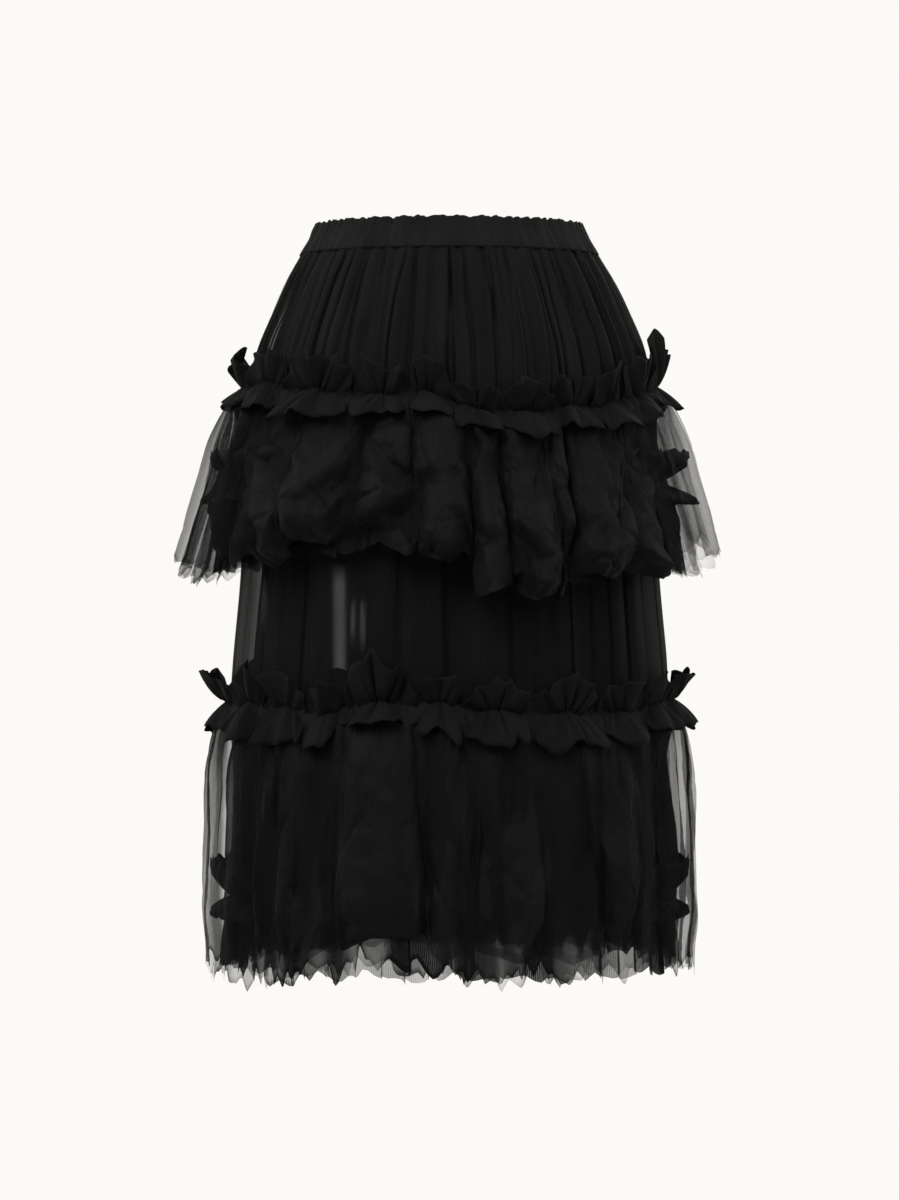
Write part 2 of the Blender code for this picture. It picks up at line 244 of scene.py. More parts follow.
def ringOfLobes(columns, frontLobes):
    # the front's lobes, then the back's: the same mirrored, a little higher in the middle
    ring = [dict(zip(columns, lobe)) for lobe in frontLobes]
    middle = (len(frontLobes) - 1) / 2
    for n, lobe in enumerate(reversed(frontLobes)):
        sizes = dict(zip(columns, lobe))
        raised = backRise * (1 - ((n - middle) / middle) ** 2)
        for size, change in (("seam", raised), ("hem", raised / 2), ("tilt", -2 * sizes.get("tilt", 0.0))):
            if size in sizes:
                sizes[size] += change
        ring.append(sizes)
    return ring


def lobeSizes(ring, azimuth):
    # every size of the lobes at each azimuth, running smoothly from lobe to lobe
    widths = np.array([lobe["width"] for lobe in ring])
    ends = np.cumsum(widths) - 90.0
    n = np.clip(np.searchsorted(ends, azimuth, side="right"), 0, len(ring) - 1)
    share = (azimuth - (ends - widths)[n]) / widths[n]
    bulge = np.sin(math.pi * share)
    found = {"share": share, "lobe": n}
    found["puff"] = np.maximum(bulge, 0.0) ** puffFullness
    found["corners"] = np.abs(2 * share - 1) ** 2.5
    found["spread"] = -np.sin(2 * math.pi * share) * np.radians(widths[n]) * lobeRadius / (2 * math.pi)
    for size in list(ring[0])[1:]:
        values = np.array([lobe[size] for lobe in ring])
        left = (values + np.roll(values, 1))[n] / 2
        right = (values + np.roll(values, -1))[n] / 2
        found[size] = left + (right - left) * share + (values[n] - (left + right) / 2) * bulge
        end = np.where(share < 0.5, left, right)
        found["stepped " + size] = values[n] + (end - values[n]) * np.abs(2 * share - 1) ** 7
    return found


rings = {"upper": ringOfLobes(lobeColumns, upperLobes), "lower": ringOfLobes(lobeColumns, lowerLobes)}

# How each net springs out below its seam, as in the CAD: a swell, a slope, and a valley between the lobes
drapes = {
    "upper": {"seamOutset": 0.0020, "swell": 0.024, "swellRun": 0.018, "slope": 0.240, "valley": 0.014},
    "lower": {"seamOutset": 0.0020, "swell": 0.024, "swellRun": 0.035, "slope": 0.035, "valley": 0.008},
    "upperInner": {"seamOutset": 0.0034, "swell": 0.014, "swellRun": 0.016, "slope": 0.090, "valley": 0.0},
    "lowerInner": {"seamOutset": 0.0034, "swell": 0.008, "swellRun": 0.012, "slope": 0.050, "valley": 0.0},
}
valleyRun = 0.045
innerSeams = {"upper": -0.242, "lower": -0.654}  # where the inner ruffles are sewn on, level all round


def netOutset(drape, sizes, fall):
    swell = drape["swell"] * (1 - np.exp(-fall / drape["swellRun"])) + drape["slope"] * fall
    valley = drape["valley"] * (1 - sizes["puff"]) * eased(fall / valleyRun)
    turnedIn = sizes["tuck"] * eased((fall / (sizes["seam"] - sizes["hem"]) - 0.8) / 0.2)
    return drape["seamOutset"] + swell - valley - turnedIn


# Materials. A piece's UV map is its cloth laid flat, in metres, and "gathering" says how closely
# the cloth is gathered there


def addNode(tree, kind, inputs=None, **settings):
    # a node of a material or of geometry, with a value or a link for each input that is given
    node = tree.nodes.new(kind)
    for name, value in settings.items():
        setattr(node, name, value)
    for name, value in (inputs or {}).items():
        if isinstance(value, bpy.types.NodeSocket):
            tree.links.new(value, node.inputs[name])
        else:
            node.inputs[name].default_value = value
    return node


def newMaterial(name, inputs):
    material = bpy.data.materials.new(name)
    material.use_nodes = True
    shader = material.node_tree.nodes["Principled BSDF"]
    for key, value in inputs.items():
        shader.inputs[key].default_value = value
    return material, material.node_tree, shader


def clothMaterial(name, look):
    return newMaterial(name, {"Base Color": (*look["dark"], 1.0), "Roughness": look["roughness"],
                              "Specular IOR Level": 0.08, "Sheen Weight": look["sheen"], "Sheen Roughness": 0.5})


def laidFlat(tree, across, down, turn=0.0):
    # the cloth's own coordinates, so many repeats a metre
    place = addNode(tree, "ShaderNodeTexCoord")
    return addNode(tree, "ShaderNodeMapping", {
        "Vector": place.outputs["UV"], "Scale": (across, down, 1.0), "Rotation": (0.0, 0.0, math.radians(turn)),
    }).outputs["Vector"]


def mathNode(tree, operation, first, second, clamp=False):
    return addNode(tree, "ShaderNodeMath", {0: first, 1: second}, operation=operation, use_clamp=clamp).outputs[0]


def rangeNode(tree, value, start, end, low, high):
    return addNode(tree, "ShaderNodeMapRange", {
        "Value": value, "From Min": start, "From Max": end, "To Min": low, "To Max": high,
    }).outputs["Result"]


def noiseAmount(tree, vector, scale, detail, low, high):
    # noise stretched over low to high
    noise = addNode(tree, "ShaderNodeTexNoise", {"Vector": vector, "Scale": scale, "Detail": detail})
    return rangeNode(tree, noise.outputs["Fac"], 0.30, 0.70, low, high)


def streaksOf(tree, streaks):
    # noise drawn out down the cloth
    squeeze, scale, detail, low, high = streaks
    return noiseAmount(tree, laidFlat(tree, 1.0, squeeze), scale, detail, low, high)


def weaveHeight(tree, threads):
    # over and under of warp and weft, so many threads a metre
    waves = [addNode(tree, "ShaderNodeTexWave", {
        "Vector": laidFlat(tree, threads, threads, turn), "Scale": 1.0, "Distortion": 0.6, "Detail Scale": 0.4,
    }, wave_type="BANDS", bands_direction="X").outputs["Fac"] for turn in (0.0, 90.0)]
    return mathNode(tree, "MAXIMUM", *waves)


def addBump(tree, shader, height, strength, distance):
    bump = addNode(tree, "ShaderNodeBump", {"Height": height, "Strength": strength, "Distance": distance})
    tree.links.new(bump.outputs["Normal"], shader.inputs["Normal"])


def tintByNoise(tree, shader, look):
    # uneven black, from the depth of the dye and rubbed folds
    share = streaksOf(tree, (0.5, look["tint"], 3.0, 0.0, 1.0))
    colours = {0: share, 6: (*look["dark"], 1.0), 7: (*look["light"], 1.0)}
    blend = addNode(tree, "ShaderNodeMix", colours, data_type="RGBA")
    tree.links.new(blend.outputs[2], shader.inputs["Base Color"])


def denseAlpha(tree, shader, structure):
    # see-through where the density is low; structure is how dense the cloth itself is from place to place
    density = addNode(tree, "ShaderNodeAttribute", attribute_name="gathering")
    tree.links.new(mathNode(tree, "MULTIPLY", density.outputs["Fac"], structure, clamp=True), shader.inputs["Alpha"])


# Crisp matt crepe, plain weave over the elastic, fine chiffon and fine even net. creases and streaks
# are what streaksOf takes, and bump is a strength and a distance
clothLook = {
    "ruffle": {
        "dark": (0.0044, 0.0044, 0.0044), "light": (0.0080, 0.0080, 0.0079), "tint": 40.0, "roughness": 0.72,
        "sheen": 0.02, "threads": 1000, "creases": (1.0, 420.0, 2.0, 0.0, 0.8), "bump": (0.5, 0.00012)},
    "band": {
        "dark": (0.0080, 0.0080, 0.0079), "light": (0.0148, 0.0148, 0.0145), "tint": 30.0, "roughness": 0.76,
        "sheen": 0.02, "threads": 900, "creases": (0.35, 160.0, 3.0, 0.0, 1.6), "bump": (0.5, 0.0002)},
    "sheer": {
        "dark": (0.0042, 0.0042, 0.0042), "light": (0.0074, 0.0074, 0.0072), "tint": 25.0, "roughness": 0.62,
        "sheen": 0.015, "threads": 1100, "creases": (0.12, 260.0, 2.0, 0.0, 1.2), "bump": (0.4, 0.0001),
        "streaks": (0.03, 130.0, 3.0, 0.94, 1.04)},
    "net": {
        "dark": (0.0042, 0.0040, 0.0043), "light": (0.0086, 0.0083, 0.0089), "tint": 30.0, "roughness": 0.60,
        "sheen": 0.012, "cells": 900, "creases": (0.6, 110.0, 4.0, 0.0, 2.4), "bump": (0.6, 0.0009),
        "streaks": (0.25, 30.0, 3.0, 0.82, 1.20), "yarn": (0.05, 0.30, 1.35, 0.86)},
}


def wovenMaterial(name, look):
    material, tree, shader = clothMaterial(name, look)
    tintByNoise(tree, shader, look)
    if "streaks" in look:
        denseAlpha(tree, shader, streaksOf(tree, look["streaks"]))
    creases = streaksOf(tree, look["creases"])
    addBump(tree, shader, mathNode(tree, "ADD", creases, weaveHeight(tree, look["threads"])), *look["bump"])
    return material


def netMaterial(name, look):
    material, tree, shader = clothMaterial(name, look)
    tintByNoise(tree, shader, look)
    cells = addNode(tree, "ShaderNodeTexVoronoi", feature="DISTANCE_TO_EDGE", inputs={
        "Vector": laidFlat(tree, look["cells"], look["cells"]), "Scale": 1.0, "Randomness": 0.25})
    yarn = rangeNode(tree, cells.outputs["Distance"], *look["yarn"])
    denseAlpha(tree, shader, mathNode(tree, "MULTIPLY", yarn, streaksOf(tree, look["streaks"])))
    addBump(tree, shader, streaksOf(tree, look["creases"]), *look["bump"])
    return material


materials = {
    "ruffle": wovenMaterial("ruffle crepe", clothLook["ruffle"]),
    "band": wovenMaterial("waistband cloth", clothLook["band"]),
    "sheer": wovenMaterial("sheer chiffon", clothLook["sheer"]),
    "lining": wovenMaterial("lining voile", dict(clothLook["sheer"], sheen=0.01)),
    "net": netMaterial("black net", clothLook["net"]),
}
print("materials:", ", ".join(materials))


# Cloth pieces are grids: rows run down from a seam, columns run once round the body


def clothPiece(name, points, falls, width, material, density, wall):
    rows, columns = points.shape[:2]
    corner = np.arange(rows * columns).reshape(rows, columns)
    beside = np.roll(corner, -1, axis=1)
    quads = np.stack([corner[1:], beside[1:], beside[:-1], corner[:-1]], axis=-1).reshape(-1, 4)
    mesh = bpy.data.meshes.new(name)
    mesh.vertices.add(rows * columns)
    mesh.vertices.foreach_set("co", points.reshape(-1).astype(np.float32))
    mesh.loops.add(quads.size)
    mesh.loops.foreach_set("vertex_index", quads.reshape(-1).astype(np.int32))
    mesh.polygons.add(len(quads))
    mesh.polygons.foreach_set("loop_start", np.arange(0, quads.size, 4, dtype=np.int32))
    mesh.update()
    mesh.validate()
    left = width * np.arange(columns) / columns
    right = width * (np.arange(columns) + 1) / columns
    across = np.stack(np.broadcast_arrays(left, right, right, left), axis=-1)
    falls = np.broadcast_to(falls, (rows, columns))
    besideFalls = np.roll(falls, -1, axis=1)
    down = -np.stack([falls[1:], besideFalls[1:], besideFalls[:-1], falls[:-1]], axis=-1)
    flat = np.stack(np.broadcast_arrays(across[None], down), axis=-1)
    mesh.uv_layers.new(name="laid flat").data.foreach_set("uv", flat.reshape(-1).astype(np.float32))
    layer = mesh.attributes.new("gathering", "FLOAT", "POINT")
    layer.data.foreach_set("value", np.broadcast_to(density, (rows, columns)).reshape(-1).astype(np.float32))
    mesh.shade_smooth()
    mesh.materials.append(materials[material])
    piece = addObject(name, mesh)
    if wall:
        thicken = piece.modifiers.new("cloth wall", "SOLIDIFY")
        thicken.thickness = wall
        thicken.offset = 0.0
    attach(piece, "root")
    steps = np.linalg.norm(np.roll(points, -1, axis=1) - points, axis=-1).sum(axis=1)
    lengths = np.linalg.norm(points[1:] - points[:-1], axis=-1).sum(axis=0)
    print(f"{name}: {len(quads)} faces, {steps.mean():.3f} m round, {lengths.mean():.3f} m long")
    return piece


def hangHalves(halves, cut, name, points, falls, material, density=1.0, wall=0.0):
    # a piece in place of a front and a back; cut is its cloth laid flat, in metres
    piece = clothPiece(name, points, falls, cut[0], material, density, wall)
    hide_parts(halves + "_front", halves + "_back")


seamLines = {}  # where stitches run: the points of a seam, and how far the thread lies above them

# The gathered elastic waistband: a casing whose cloth is drawn up between the stitch lines
waistbandLook = {
    "half": 0.015, "wall": 0.0024, "depth": 0.0021, "fineDepth": 0.0008, "crown": 0.0012, "grooveDepth": 0.0016,
    "scallop": 0.0015, "columns": 840, "rows": 15, "stitchRow": 3, "cut": (0.82, 0.034),
}


def makeWaistband():
    look = waistbandLook
    azimuth, share = clothGrid(look)
    middle = np.sin(math.pi * share)
    wander = 1.6 * (share - 0.5) * rightward(7 * azimuth) + 0.8 * middle * rightward(11 * azimuth)
    pillow = 1 - 2 * np.abs(facets(azimuth + wander, 3.0, 9.5, 5, 0.5)) ** 1.4
    fine = facets(azimuth - wander, 0.9, 2.6, 6)
    strength = uneven(azimuth, 7, 0.45, 1.0, (5, 11, 17, 29)) * (0.55 + 0.45 * np.abs(1 - 2 * share))
    outset = look["depth"] * strength * pillow + look["fineDepth"] * fine * strength + look["crown"] * middle
    outset += look["grooveDepth"] * grooves(azimuth + wander, 3.0, 9.0, 8, 0.5) * (1.1 - 0.7 * middle)
    top = look["half"] + look["scallop"] * (pillow + 0.4 * fine)
    height = top + (-look["half"] - top) * share
    points = formPoints(azimuth, height, outset)
    seamLines["waistbandUpper"] = (points[look["stitchRow"]], 0.0013)
    seamLines["waistbandLower"] = (points[-look["stitchRow"]], 0.0013)
    piece = clothPiece("waistbandCloth", points, 0.03 * share, 1.0, "band", 1.0, look["wall"])
    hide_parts("waistband")


# The sheer skirt and the lining inside it
skirtLook = {
    "top": -0.0150, "hem": -0.672, "columns": 960, "rows": 62, "foldDepth": 0.0060, "gatherDepth": 0.0038,
    "creaseDepth": 0.0080, "smallDepth": 0.0008, "sideShift": 0.0030, "heldRun": 0.045, "density": 0.68,
    "seamDensity": 0.985, "panelDensity": 0.92, "rightDensity": 0.93, "stripDensity": 0.90, "cut": (1.37, 0.67),
}
liningLook = {
    "top": -0.0155, "hem": -0.658, "columns": 384, "rows": 56, "seamInset": 0.0024, "inset": 0.0100, "folds": 31,
    "foldDepth": 0.0030, "leftIn": 0.005, "rightIn": -0.0075, "stripIn": 0.010, "topDensity": 0.998,
    "density": 0.93, "cut": (1.12, 0.65),
}

# Slits where a single layer shows: centre and half width across the front, top and foot, and how open
slitColumns = ("x", "half", "top", "foot", "open")
slits = [
    (-0.110, 0.0070, -0.32, -0.475, 0.66),
    (-0.096, 0.0026, -0.35, -0.415, 0.62),
    (-0.087, 0.0030, -0.35, -0.420, 0.58),
    (-0.186, 0.0040, -0.33, -0.400, 0.35),
    (0.080, 0.0018, -0.51, -0.585, 0.45),
    (0.093, 0.0015, -0.54, -0.580, 0.40),
    (-0.086, 0.0012, -0.50, -0.560, 0.40),
]


def seamsAt(azimuth):
    # heights at which the tiers and the inner ruffles are sewn to the skirt
    return [lobeSizes(ring, azimuth)["seam"] for ring in rings.values()] + list(innerSeams.values())


def slitOpening(points):
    # how far the gathers part, at the front and at the same places of the back
    opening = np.zeros(points.shape[:2])
    for row in slits:
        slit = dict(zip(slitColumns, row))
        reach = (cameraLook["distance"] + points[..., 1]) / cameraLook["distance"]
        across = np.exp(-(((points[..., 0] / reach - slit["x"]) / slit["half"]) ** 2) ** 2)
        upDown = eased((slit["top"] - points[..., 2]) / 0.02) * eased((points[..., 2] - slit["foot"]) / 0.03)
        opening = np.maximum(opening, slit["open"] * across * upDown)
    return opening


def leftStrip(azimuth, fallen, start=0.85):
    # the left side below the upper tier, where only the sheer cloth shows
    side = eased((-rightward(azimuth) - start) / (1 - start))
    return side * eased((fallen - 0.27) / 0.04) * (1 - eased((fallen - 0.41) / 0.04))


def makeSkirt():
    look = skirtLook
    azimuth, share = clothGrid(look)
    height = look["top"] + (look["hem"] - look["top"]) * share
    fallen = look["top"] - height
    free = np.ones_like(height * azimuth)
    for seam in seamsAt(azimuth):
        free = np.minimum(free, eased(np.abs(height - seam) / look["heldRun"]))
    free = free * eased(fallen / 0.06)
    panel = eased(1 - (fallen - 0.13) / 0.08)
    wander = 1.5 * np.sin(4 * share + np.radians(5 * azimuth)) * eased(fallen / 0.1)
    long = facets(azimuth + wander, 5.0, 13.0, 11, 0.3)
    narrow = facets(azimuth + 0.5 * wander, 2.2, 6.0, 12, 0.2)
    small = facets(azimuth - 0.3 * wander, 0.9, 2.4, 13)
    size = uneven(azimuth, 14, 0.5, 1.0)
    outset = look["foldDepth"] * long * size * free * (1 - 0.45 * panel)
    outset += look["gatherDepth"] * narrow * (0.35 + 0.65 * panel) * (0.7 + 0.3 * free)
    outset += look["smallDepth"] * small * (0.3 + 0.5 * panel)
    hung = eased(fallen / 0.012)
    outset += look["creaseDepth"] * grooves(azimuth + wander, 4.0, 16.0, 17, 0.62) * hung
    outset += 0.7 * look["creaseDepth"] * grooves(azimuth - wander, 3.0, 9.0, 18, 0.45) * hung * panel
    sideways = look["sideShift"] * facets(azimuth + wander, 3.0, 8.0, 15) * eased(fallen / 0.05)
    strip = leftStrip(azimuth, fallen)
    calm = 1 - 0.75 * np.maximum(strip, eased((rightward(azimuth) - 0.8) / 0.15) * (1 - panel))
    points = formPoints(azimuth, height, (outset + 0.0006 * (1 - free)) * calm, sideways * calm)
    density = look["density"] + (look["panelDensity"] - look["density"]) * panel
    farSide = eased((np.abs(rightward(azimuth)) - 0.80) / 0.16) * eased(fallen / 0.04)
    density = density + (look["density"] - 0.03 - density) * farSide * panel
    density = density + (look["seamDensity"] - density) * eased(1 - fallen / 0.03)
    rightSide = eased((rightward(azimuth) - 0.75) / 0.2)
    density = density + (look["rightDensity"] - 0.07 * panel - density) * rightSide
    density = density + 0.10 * np.abs(small) * uneven(azimuth, 16, 0.0, 1.0, (9, 17, 31)) * (1 - panel)
    density = density + (look["stripDensity"] - density) * strip
    hangHalves("skirt", look["cut"], "skirtSheer", points, -height, "sheer", density)


def makeLining():
    look = liningLook
    azimuth, share = clothGrid(look)
    height = look["top"] + (look["hem"] - look["top"]) * share
    fallen = look["top"] - height
    inset = look["seamInset"] + (look["inset"] - look["seamInset"]) * eased(fallen / 0.035)
    leftSide = eased((-rightward(azimuth) - 0.6) / 0.4)
    inset = inset + look["leftIn"] * leftSide * eased((fallen - 0.01) / 0.09) * eased(1 - (fallen - 0.20) / 0.15)
    inset = inset + look["stripIn"] * leftStrip(azimuth, fallen, 0.55)
    rightSide = eased((rightward(azimuth) - 0.6) / 0.35)
    inset = inset + look["rightIn"] * rightSide * eased((fallen - 0.10) / 0.10)
    phase = foldPhase(azimuth, look["folds"], 21, 1.0)
    depth = look["foldDepth"] * uneven(azimuth, 22, 0.3, 1.0) * eased(fallen / 0.06)
    points = formPoints(azimuth, height, -inset + depth * (np.sin(phase) - 1) / 2, 0.002 * np.cos(phase))
    density = look["density"] + (look["topDensity"] - look["density"]) * eased(1 - (fallen - 0.20) / 0.12)
    density = density + 0.07 * uneven(azimuth, 23, 0.0, 1.0, (13, 23, 37)) - slitOpening(points)
    hangHalves("lining", look["cut"], "liningVoile", points, fallen, "lining", density)


makeWaistband()
makeSkirt()
makeLining()
print("waistband, skirt and lining hung")


# Flounces of net: small gathers at the seam run together into folds, then into the lobes. They stand
# out at the sides, and at the front of the upper tier they hang behind the puffs
flounceLooks = {
    "upperNetOuter": {
        "tier": "upper", "columns": 800, "rows": 32, "seed": 31, "folds": 31, "foldDepth": 0.0060,
        "sideShift": 0.0085, "frontOutset": -0.012, "sideOutset": -0.002, "frontHem": -0.016, "leftHem": 0.006,
        "rightHem": 0.006, "rag": 0.008, "density": 0.31, "rightThin": 0.4, "cut": (1.78, 0.176)},
    "upperNetMiddle": {
        "tier": "upper", "columns": 680, "rows": 28, "seed": 41, "folds": 27, "foldDepth": 0.0070,
        "sideShift": 0.0095, "frontOutset": -0.018, "sideOutset": -0.012, "frontHem": -0.022, "leftHem": 0.018,
        "rightHem": -0.006, "rag": 0.009, "density": 0.31, "rightThin": 0.4, "cut": (1.78, 0.170)},
    "lowerNetOuter": {
        "tier": "lower", "columns": 780, "rows": 40, "seed": 51, "folds": 29, "foldDepth": 0.0045,
        "sideShift": 0.0080, "frontOutset": 0.001, "sideOutset": 0.003, "frontHem": 0.005, "leftHem": 0.006,
        "rightHem": 0.006, "rag": 0.015, "density": 0.38, "rightThin": 0.1, "cut": (1.98, 0.264)},
    "lowerNetMiddle": {
        "tier": "lower", "columns": 660, "rows": 36, "seed": 61, "folds": 25, "foldDepth": 0.0060,
        "sideShift": 0.0090, "frontOutset": -0.006, "sideOutset": -0.024, "frontHem": 0.003, "leftHem": 0.000,
        "rightHem": -0.004, "rag": 0.017, "density": 0.62, "rightThin": 0.7, "cut": (2.02, 0.257)},
}
netGathers = {"depth": 0.0012, "run": 0.05}  # the small gathers below a seam
netCrumple = {"depth": 0.0020, "size": 0.07}


def raggedHem(azimuth, seed, size):
    # a raw hem with pointed dips, long and short
    wide = 0.45 * facets(azimuth, 4.0, 13.0, seed) + 0.45 * facets(azimuth, 1.4, 5.0, seed + 1)
    return size * (wide + 0.55 * facets(azimuth, 0.9, 2.4, seed + 2, 0.1))


def towardsSides(azimuth, front, left, right=None):
    # a size that changes smoothly from the front and back to each side
    right = left if right is None else right
    side = eased((np.abs(rightward(azimuth)) - 0.70) / 0.26)
    return front + (np.where(rightward(azimuth) < 0, left, right) - front) * side


def makeFlounce(name, look):
    azimuth, share = clothGrid(look)
    sizes = lobeSizes(rings[look["tier"]], azimuth)
    seed = look["seed"]
    moreHem = towardsSides(azimuth, look["frontHem"], look["leftHem"], look["rightHem"])
    hem = sizes["hem"] - moreHem + raggedHem(azimuth, seed, look["rag"])
    fall = share * (sizes["seam"] - hem)
    phase = foldPhase(azimuth, look["folds"], seed + 3, 1.3) + 0.8 * np.sin(3 * share + np.radians(2 * azimuth))
    outset = netOutset(drapes[look["tier"]], sizes, fall)
    moreOutset = towardsSides(azimuth, look["frontOutset"], look["sideOutset"])
    outset += moreOutset * eased(fall / 0.04)
    depth = look["foldDepth"] * uneven(azimuth, seed + 5, 0.35, 1.0) * eased(fall / 0.07)
    outset += depth * creased(phase, 0.97)
    outset += netGathers["depth"] * facets(azimuth, 0.8, 2.0, seed + 4) * np.exp(-fall / netGathers["run"])
    base = formPoints(azimuth, sizes["seam"] - fall, 0.0)
    outset += netCrumple["depth"] * crumpled(base, netCrumple["size"], seed + 9) * eased(fall / 0.08)
    shift = look["sideShift"] * uneven(azimuth, seed + 6, 0.1, 1.0, (5, 9, 14)) * eased(fall / 0.08)
    points = formPoints(azimuth, sizes["seam"] - fall, outset, shift * np.cos(phase + 0.5))
    density = look["density"] * (1 + 0.9 * np.exp(-fall / 0.035)) * uneven(azimuth, seed + 7, 0.6, 1.6, (11, 23, 41))
    density = density * (1 - look["rightThin"] * eased((rightward(azimuth) - 0.30) / 0.30))
    hemEdge = np.exp(-((1 - share) * (sizes["seam"] - hem) / 0.0015))
    hangHalves(look["tier"] + "_net", look["cut"], name, points, fall, "net", density * (1 + 0.5 * hemEdge))


for name, look in flounceLooks.items():
    makeFlounce(name, look)
print("net flounces gathered")


# Packed net: puffs of many layers, crushed and turned under at the hem. out is how far a puff bulges
# before its neighbours, tilt how much higher its hem is at its right, and parting how deep the fold is at its left
puffColumns = ("width", "hem", "tuck", "out", "tilt", "parting")
upperPuffs = [
    (24.0, -0.314, 0.000, 0.000, 0.000, 0.8),
    (24.0, -0.320, 0.004, 0.000, -0.004, 0.6),
    (20.0, -0.303, 0.016, 0.007, 0.002, 1.2),
    (12.0, -0.308, 0.010, 0.002, -0.012, 0.9),
    (13.3, -0.320, 0.003, 0.007, 0.005, 0.6),
    (8.1, -0.350, 0.006, 0.000, 0.003, 1.0),
    (14.0, -0.354, 0.008, 0.005, -0.003, 0.9),
    (6.3, -0.358, 0.006, 0.000, 0.003, 0.4),
    (15.8, -0.337, 0.002, 0.004, 0.002, 1.0),
    (20.5, -0.330, 0.002, 0.000, 0.006, 0.6),
    (22.0, -0.310, 0.000, 0.000, 0.006, 0.8),
]
lowerPuffs = [
    (22.0, -0.700, 0.003, 0.000, 0.000, 0.8),
    (22.0, -0.698, 0.003, 0.002, -0.006, 0.5),
    (21.0, -0.700, 0.003, 0.000, -0.004, 0.5),
    (17.0, -0.683, 0.014, 0.017, 0.020, 1.4),
    (14.2, -0.699, 0.003, 0.000, 0.004, 1.4),
    (13.8, -0.697, 0.003, 0.003, -0.003, 1.0),
    (15.8, -0.700, 0.003, 0.000, 0.002, 0.4),
    (16.2, -0.692, 0.003, 0.004, 0.008, 1.2),
    (16.0, -0.697, 0.003, 0.000, -0.004, 0.5),
    (11.0, -0.699, 0.003, 0.002, 0.003, 0.7),
    (11.0, -0.698, 0.003, 0.000, 0.000, 0.6),
]
puffLooks = {
    "upperPuffs": {
        "puffs": upperPuffs, "tier": "upper", "columns": 900, "rows": 80, "seed": 71, "foldDepth": 0.0030,
        "creaseDepth": 0.0044, "crush": 0.0165, "cell": (8.0, 0.045), "leftIn": 0.020, "rightIn": 0.034,
        "hemFacet": 0.0085, "density": 0.96, "roll": 0.012, "swell": 0.006, "valley": 0.012, "spread": 0.60,
        "lean": 0.10, "fade": 0.0, "sunk": 0.010, "proudest": 0.012, "cut": (2.11, 0.208)},
    "lowerPuffs": {
        "puffs": lowerPuffs, "tier": "lower", "columns": 800, "rows": 80, "seed": 81, "foldDepth": 0.0050,
        "creaseDepth": 0.0070, "crush": 0.0110, "cell": (7.0, 0.100), "leftIn": 0.039, "rightIn": 0.022,
        "hemFacet": 0.0095, "density": 0.90, "roll": 0.004, "swell": 0.003, "valley": 0.006, "spread": 0.50,
        "lean": 0.05, "fade": 0.68, "sunk": 0.004, "proudest": 0.021, "cut": (1.91, 0.255)},
}
puffTurn = 0.92  # share of a puff's rows above its turned-under hem
puffGathers = {"depth": 0.0016, "run": 0.03}
bulged = 0.012  # a puff that bulges more than this hangs smooth


def puffSizes(look, azimuth):
    ring = ringOfLobes(puffColumns, look["puffs"])
    sizes = lobeSizes(ring, azimuth)
    sizes["seam"] = lobeSizes(rings[look["tier"]], azimuth)["seam"]
    partings = np.array([puff["parting"] for puff in ring])
    sizes["parting"] = np.where(sizes["share"] < 0.5, partings[sizes["lobe"]], np.roll(partings, -1)[sizes["lobe"]])
    sizes["puff"] = 1 - np.minimum(1.0, sizes["parting"]) * (1 - sizes["puff"])
    return sizes


